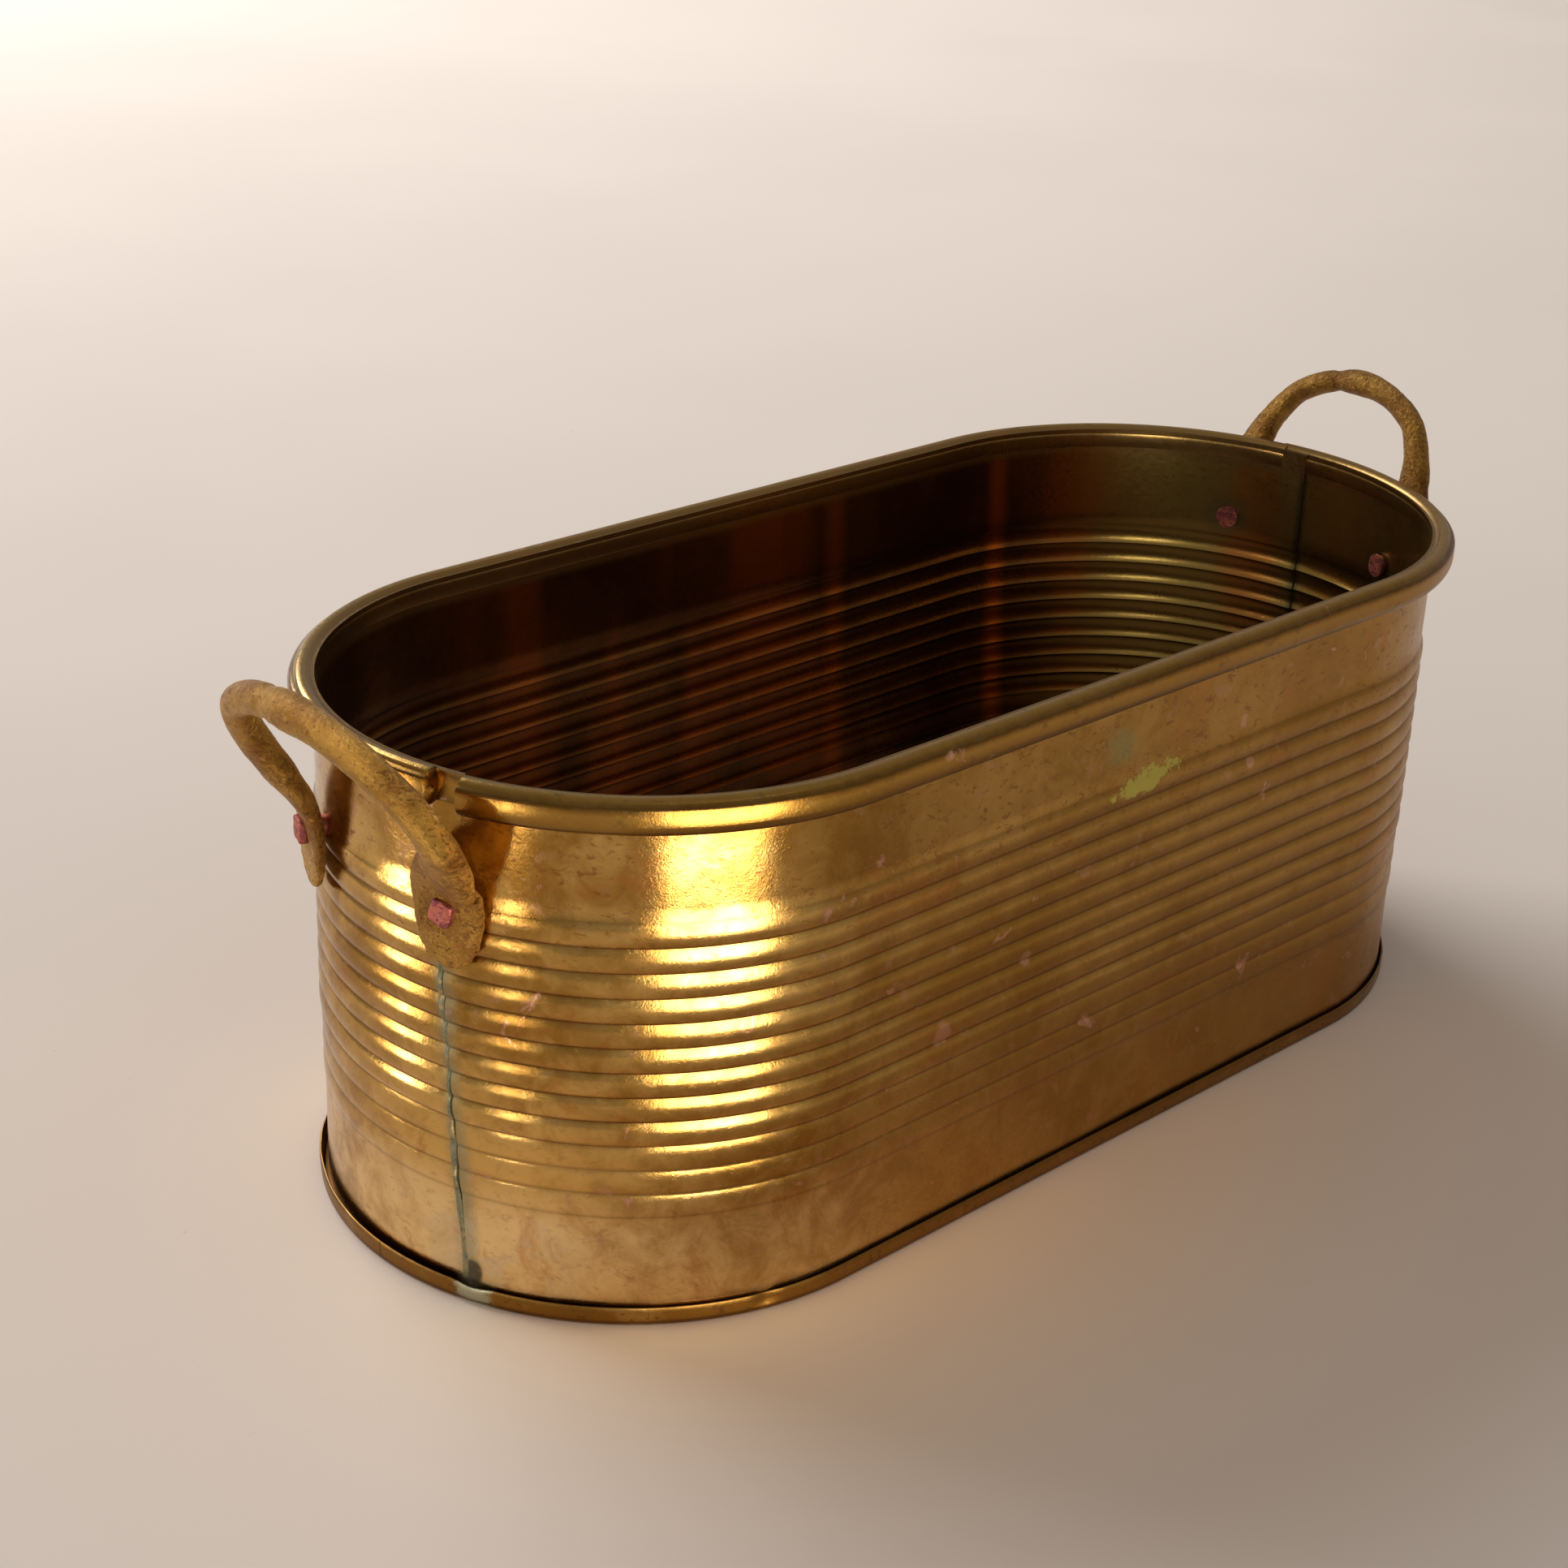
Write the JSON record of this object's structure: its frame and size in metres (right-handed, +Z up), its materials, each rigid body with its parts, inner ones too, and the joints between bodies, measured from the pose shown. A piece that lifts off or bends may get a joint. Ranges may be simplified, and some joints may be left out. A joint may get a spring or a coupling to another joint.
{
  "type": "planter pot",
  "caption": "Oblong sheet-brass planter pot with round ends, ribbed wall, rolled rim, lipped base pan and two riveted loop handles.",
  "frame": {"origin": "centre of the pot's underside, midway between the round ends", "axes": "+X along the pot towards the far handle, +Z up, -Y towards the long side seen from the front"},
  "size_m": [0.3081, 0.1286, 0.1234],
  "materials": {
    "sheet_brass": "aged, burnished, mottled brown",
    "pan_brass": "aged, dull",
    "cast_brass": "as cast and filed, pitted at the feet",
    "copper_rivet": "rough copper, cut and hammered",
    "soft_solder": "dull grey solder with green tarnish"
  },
  "bodies": {
    "root": {"wall_front": "sheet_brass", "wall_back": "sheet_brass", "base_pan": "pan_brass", "base_solder": "soft_solder", "solder_seam_near": "soft_solder", "solder_seam_far": "soft_solder", "handle_near": "cast_brass", "handle_far": "cast_brass", "rivet_near_front": "copper_rivet", "rivet_near_back": "copper_rivet", "rivet_far_front": "copper_rivet", "rivet_far_back": "copper_rivet"}
  },
  "joints": []
}
